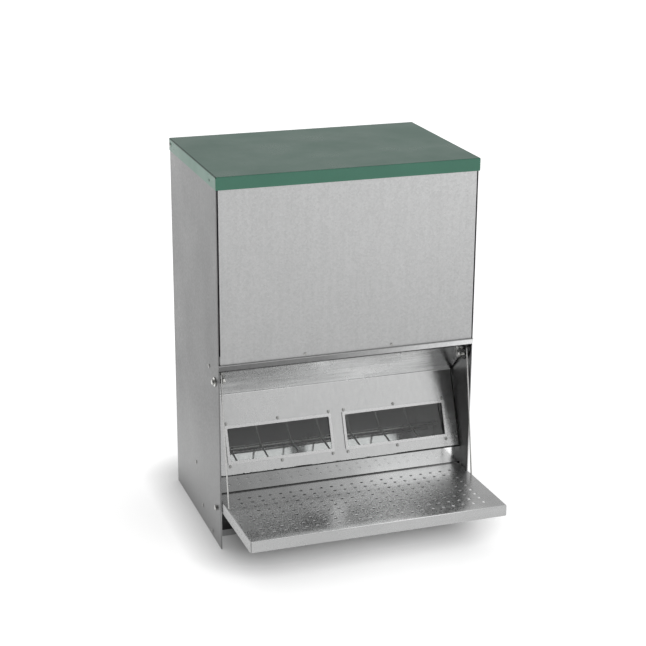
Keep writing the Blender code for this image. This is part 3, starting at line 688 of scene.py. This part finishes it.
def thread_profile(length):
    """A bolt's shank from its head inwards: plain, then ridges for the thread, then a chamfered end."""
    root = BOLT_RADIUS - 0.35 * MM
    along = -THREAD_START
    profile = [(0, 0), (BOLT_RADIUS, 0), (BOLT_RADIUS, along)]
    while along > -(length - 2 * THREAD_PITCH):
        profile += [(root, along - THREAD_PITCH / 2), (BOLT_RADIUS, along - THREAD_PITCH)]
        along -= THREAD_PITCH
    return profile + [(BOLT_RADIUS - 0.6 * MM, -length), (0, -length)]


def bolt_mesh(name, axis, sign):
    """A hexagon bolt pushed in from the side: a head with a turned crown, and a threaded shank."""
    inner, outer = reach_along_x(name)
    under = outer - BOLT_HEAD
    head = plate([hexagon(HEX_WIDTH)], under, outer - 0.4 * MM, 0.35 * MM, along_x(axis, sign))
    crown = ((0, 0), (3.1 * MM, 0), (3.5 * MM, -0.4 * MM), (3.6 * MM, -0.8 * MM), (0, -0.8 * MM))
    parts = [head, lathe(crown, (sign * outer, axis.y, axis.z), (sign, 0, 0))]
    parts.append(lathe(thread_profile(under - inner), (sign * under, axis.y, axis.z), (sign, 0, 0), steps=20))
    return joined(parts)


def pivots():
    for label, axis in (("flap", FLAP_AXIS), ("treadle", TREADLE_AXIS)):
        for side, sign in SIDES:
            name = f"{label}_bolt_{side}"
            piece(f"{name}_fine", bolt_mesh(name, axis, sign), "cabinet", "zinc_plate", ZINC, name, smooth=25)
            name = f"{label}_nut_{side}"
            nut = plate([hexagon(HEX_WIDTH), circle(BOLT_RADIUS + 0.15 * MM)], *reach_along_x(name), 0.4 * MM,
                        along_x(axis, sign))
            piece(f"{name}_fine", nut, "cabinet", "zinc_plate", ZINC, name, smooth=25)
    for side, sign in SIDES:
        name = f"flap_washer_{side}"
        ring = plate([circle(WASHER_RADIUS, 40), circle(BOLT_RADIUS + GAP)], *reach_along_x(name), 0.25 * MM,
                     along_x(FLAP_AXIS, sign))
        piece(f"{name}_fine", ring, "cabinet", "zinc_plate", ZINC, name, smooth=25)


# ---- flap windows -------------------------------------------------------------------------------
def window_matrix(sign):
    """The plane of a window: x across, y up the flap, z out of its front."""
    run = FLAP_CREASE - FLAP_BOTTOM
    place = FLAP_BOTTOM + run.normalized() * WINDOW_MIDDLE
    lean = Matrix.Rotation(math.atan2(run.z, run.y), 4, "X")
    return Matrix.Translation((sign * WINDOW_CENTRE, place.y, place.z)) @ lean


def windows():
    front = SHEET / 2 + GAP
    back = -SHEET / 2 - GAP
    width, height = WINDOW_SIZE
    rivets = [(x * WINDOW_RIVET[0], y * WINDOW_RIVET[1]) for x in (-1, 0, 1) for y in (-1, 1)]
    for side, sign in SIDES:
        matrix = window_matrix(sign)
        outline = rectangle(width + 2 * FRAME_BORDER, height + 2 * FRAME_BORDER, 2.2 * MM)
        opening = rectangle(width, height, 1.2 * MM)
        border = plate([outline, opening], front, front + FRAME_THICKNESS, 0.45 * MM, matrix)
        piece(f"window_frame_{side}_fine", border, "flap", "rivet_alloy", FRAME_METAL, f"window_frame_{side}",
              smooth=0)
        holes = [circle(1.6 * MM, 16, place) for place in rivets]
        pane = plate([rectangle(*PANE_SIZE, 3 * MM)] + holes, back - PANE_THICKNESS, back, 0.2 * MM, matrix)
        piece(f"window_pane_{side}_fine", pane, "flap", "clear_plastic", PLASTIC, f"window_pane_{side}",
              smooth=0)


# ---- rods and grid ------------------------------------------------------------------------------
def pull_rods():
    for side, sign in SIDES:
        name = f"pull_rod_{side}"
        shift = Vector((sign * ROD_X, 0, 0))
        inner, outer = reach_along_x(name)
        corners = [ROD_FOOT + Vector((sign * inner, 0, 0)), ROD_FOOT + shift, ROD_HOOK + shift,
                   ROD_HOOK + Vector((sign * outer, 0, 0))]
        rod = wire(rounded_path(corners, 3 * MM), ROD_RADIUS)
        piece(f"{name}_fine", rod, f"{side}_rod", "zinc_plate", WIRE, name, smooth=60)


def feed_grid():
    """Wires over the feed, spot welded to two cross rods."""
    down = Vector((0, 0, -GRID_DROP))
    reach = Vector((reach_along_x("anti_waste_grid")[1], 0, 0))
    weld = ((0, 1.1 * MM), (1.6 * MM, 0.7 * MM), (2 * MM, 0), (1.6 * MM, -0.7 * MM), (0, -1.1 * MM))
    parts = [wire([end + down - reach, end + down + reach], GRID_RADIUS) for end in (GRID_FRONT, GRID_BACK)]
    for i in range(GRID_WIRES):
        across = Vector(((i - (GRID_WIRES - 1) / 2) * GRID_PITCH, 0, 0))
        parts.append(wire([GRID_FRONT + across, GRID_BACK + across], GRID_RADIUS))
        for end in (GRID_FRONT, GRID_BACK):
            parts.append(lathe(weld, end + across + down / 2, (0, 0, 1), steps=12))
    piece("anti_waste_grid_fine", joined(parts), "cabinet", "zinc_plate", WIRE, "anti_waste_grid", smooth=60)


# ---- treadle ------------------------------------------------------------------------------------
def hole_cell(work, x, y):
    """One square of the treadle's top with a round hole in its middle, its rim pressed down a little."""
    steps = (-1, -0.5, 0, 0.5)
    square = [(step, -1) for step in steps] + [(1, step) for step in steps]
    square += [(-px, -py) for px, py in square]
    half = HOLE_PITCH / 2
    rings = [[work.verts.new((x + half * px, y + half * py, 0)) for px, py in square]]
    angles = [math.atan2(py, px) for px, py in square]
    for outwards, drop in HOLE_RIM:
        radius = HOLE_RADIUS + outwards
        ring = [(x + radius * math.cos(angle), y + radius * math.sin(angle), -drop) for angle in angles]
        rings.append([work.verts.new(point) for point in ring])
    for outer, inner in zip(rings, rings[1:]):
        for i in range(len(square)):
            work.faces.new((outer[i - 1], outer[i], inner[i], inner[i - 1]))


def border_edges(work, axis, side):
    """The open edges on one outer side of the sheet."""
    limit = max(side * vert.co[axis] for vert in work.verts) - 0.01 * MM
    return [edge for edge in work.edges
            if len(edge.link_faces) == 1 and all(side * vert.co[axis] > limit for vert in edge.verts)]


def push(work, edges):
    """Extrude open edges; returns the new edges and their points."""
    made = bmesh.ops.extrude_edge_only(work, edges=edges)["geom"]
    points = {item for item in made if isinstance(item, bmesh.types.BMVert)}
    edges = [item for item in made if isinstance(item, bmesh.types.BMEdge)]
    return [edge for edge in edges if set(edge.verts) <= points], points


def margin(work, axis, side, limit):
    """Carry the sheet flat from one outer side to a limit; returns its new open edges."""
    edges, points = push(work, border_edges(work, axis, side))
    for point in points:
        point.co[axis] = limit
    return edges


def fold_down(work, edges, axis, side, limit, depth, steps=5):
    """Round the sheet over at some open edges and carry it straight down to a depth."""
    for step in range(1, steps + 1):
        edges, points = push(work, edges)
        angle = math.pi / 2 * step / steps
        for point in points:
            point.co[axis] = side * (limit - TREADLE_FOLD * (1 - math.sin(angle)))
            point.co.z = TREADLE_FOLD * (math.cos(angle) - 1)
    edges, points = push(work, edges)
    for point in points:
        point.co.z = -depth


def treadle_sheet():
    """The treadle's middle surface: a field of holes, plain margins, and folded front and side edges."""
    half = TREADLE_SHEET / 2
    middle = TREADLE_REAR - TREADLE_LENGTH / 2
    edge_x = TREADLE_HALF - half
    edge_y = TREADLE_LENGTH / 2 - half
    depth = TREADLE_SKIRT - half
    work = bmesh.new()
    for i in range(HOLE_COLUMNS):
        for j in range(HOLE_ROWS):
            hole_cell(work, (i - (HOLE_COLUMNS - 1) / 2) * HOLE_PITCH, (j - (HOLE_ROWS - 1) / 2) * HOLE_PITCH)
    bmesh.ops.remove_doubles(work, verts=work.verts, dist=WELD_DISTANCE)
    margin(work, 1, 1, TREADLE_LENGTH / 2)
    for _, sign in SIDES:
        margin(work, 0, sign, sign * (edge_x - TREADLE_FOLD))
    front = margin(work, 1, -1, TREADLE_FOLD - edge_y)
    sides = [(sign, border_edges(work, 0, sign)) for _, sign in SIDES]
    fold_down(work, front, 1, -1, edge_y, depth)
    for sign, edges in sides:
        fold_down(work, edges, 0, sign, edge_x, depth)
    bmesh.ops.recalc_face_normals(work, faces=work.faces)
    for vert in work.verts:
        vert.co.y += middle
        vert.co.z += TREADLE_RISE - half
    mesh = bpy.data.meshes.new("treadle_sheet")
    work.to_mesh(mesh)
    work.free()
    return mesh


def fine_treadle():
    """The folded, perforated sheet with its two ears."""
    place = Matrix.Translation(TREADLE_AXIS) @ Matrix.Rotation(TREADLE_TILT, 4, "X")
    shell = {"thickness": TREADLE_SHEET, "offset": 0.0}
    parts = [final_mesh(treadle_sheet(), place, [("SOLIDIFY", shell)])]
    for side, sign in SIDES:
        matrix = along_x(TREADLE_AXIS, sign)
        back = matrix.inverted()
        loop = [tuple(back @ (TREADLE_AXIS + Vector((0, y * MM, z * MM))))[:2] for y, z in TREADLE_EAR]
        hole = circle(BOLT_RADIUS + GAP)
        parts.append(plate([loop, hole], TREADLE_HALF - TREADLE_SHEET, TREADLE_HALF, 0.15 * MM, matrix))
    piece("treadle_fine", joined(parts), "treadle", "galvanised", SHEET_LOOKS["treadle"], "treadle",
          smooth=50)


# ---- studio -------------------------------------------------------------------------------------
def direction(azimuth, elevation):
    """Unit vector from the part towards a viewer at this azimuth and elevation, in degrees."""
    a, e = math.radians(azimuth), math.radians(elevation)
    return Vector((math.sin(a) * math.cos(e), -math.cos(a) * math.cos(e), math.sin(e)))


def make_camera():
    back = direction(CAMERA_AZIMUTH, CAMERA_ELEVATION)
    right = (-back).cross(Vector((0, 0, 1))).normalized()
    up = right.cross(-back)
    place = CAMERA_TARGET + back * CAMERA_DISTANCE + right * CAMERA_AIM[0] + up * CAMERA_AIM[1]
    roll = math.radians(CAMERA_ROLL)
    right, up = right * math.cos(roll) + up * math.sin(roll), up * math.cos(roll) - right * math.sin(roll)
    data = bpy.data.cameras.new("camera")
    data.lens = CAMERA_LENS
    data.sensor_width = SENSOR_WIDTH
    data.clip_end = 100
    camera = bpy.data.objects.new("camera", data)
    camera.matrix_world = Matrix.Translation(place) @ Matrix((right, up, back)).transposed().to_4x4()
    bpy.context.scene.collection.objects.link(camera)
    bpy.context.scene.camera = camera


def make_floor():
    bpy.ops.mesh.primitive_plane_add(size=FLOOR_SIZE, location=(0, 0, FLOOR_HEIGHT))
    floor = bpy.context.active_object
    floor.name = "studio_floor"
    floor.data.materials.append(floor_material())


def lobe(tree, coordinates, azimuth, elevation, inner, outer):
    """1 inside the inner angle of a direction, 0 outside the outer one, smooth between."""
    towards = tree.add("ShaderNodeVectorMath")
    towards.operation = "DOT_PRODUCT"
    tree.put(towards.inputs[0], coordinates)
    towards.inputs[1].default_value = direction(azimuth, elevation)
    edge = tree.add("ShaderNodeMapRange", Value=towards.outputs["Value"])
    edge.interpolation_type = "SMOOTHSTEP"
    edge.inputs["From Min"].default_value = math.cos(math.radians(outer))
    edge.inputs["From Max"].default_value = math.cos(math.radians(inner))
    return edge.outputs[0]


def make_world():
    """A pale tent with large soft lights, and a dark opening that the camera looks in through."""
    world = bpy.data.worlds.new("studio")
    world.use_nodes = True
    bpy.context.scene.world = world
    tree = Tree(world.node_tree)
    coordinates = tree.add("ShaderNodeTexCoord").outputs["Generated"]
    strength = TENT
    for azimuth, elevation, inner, outer, added in LOBES:
        part = tree.math("MULTIPLY", lobe(tree, coordinates, azimuth, elevation, inner, outer), added)
        strength = tree.math("ADD", part, strength)
    dark = tree.math("MULTIPLY", lobe(tree, coordinates, *OPENING), OPENING_DEPTH)
    strength = tree.math("MULTIPLY", strength, tree.math("SUBTRACT", 1.0, dark))
    background = world.node_tree.nodes["Background"]
    background.inputs["Color"].default_value = (1, 1, 1, 1)
    tree.put(background.inputs["Strength"], strength)


dress_cad_nodes()
body_rivets()
pivots()
windows()
pull_rods()
feed_grid()
fine_treadle()
make_camera()
make_floor()
make_world()
bpy.context.scene.view_settings.view_transform = "Standard"
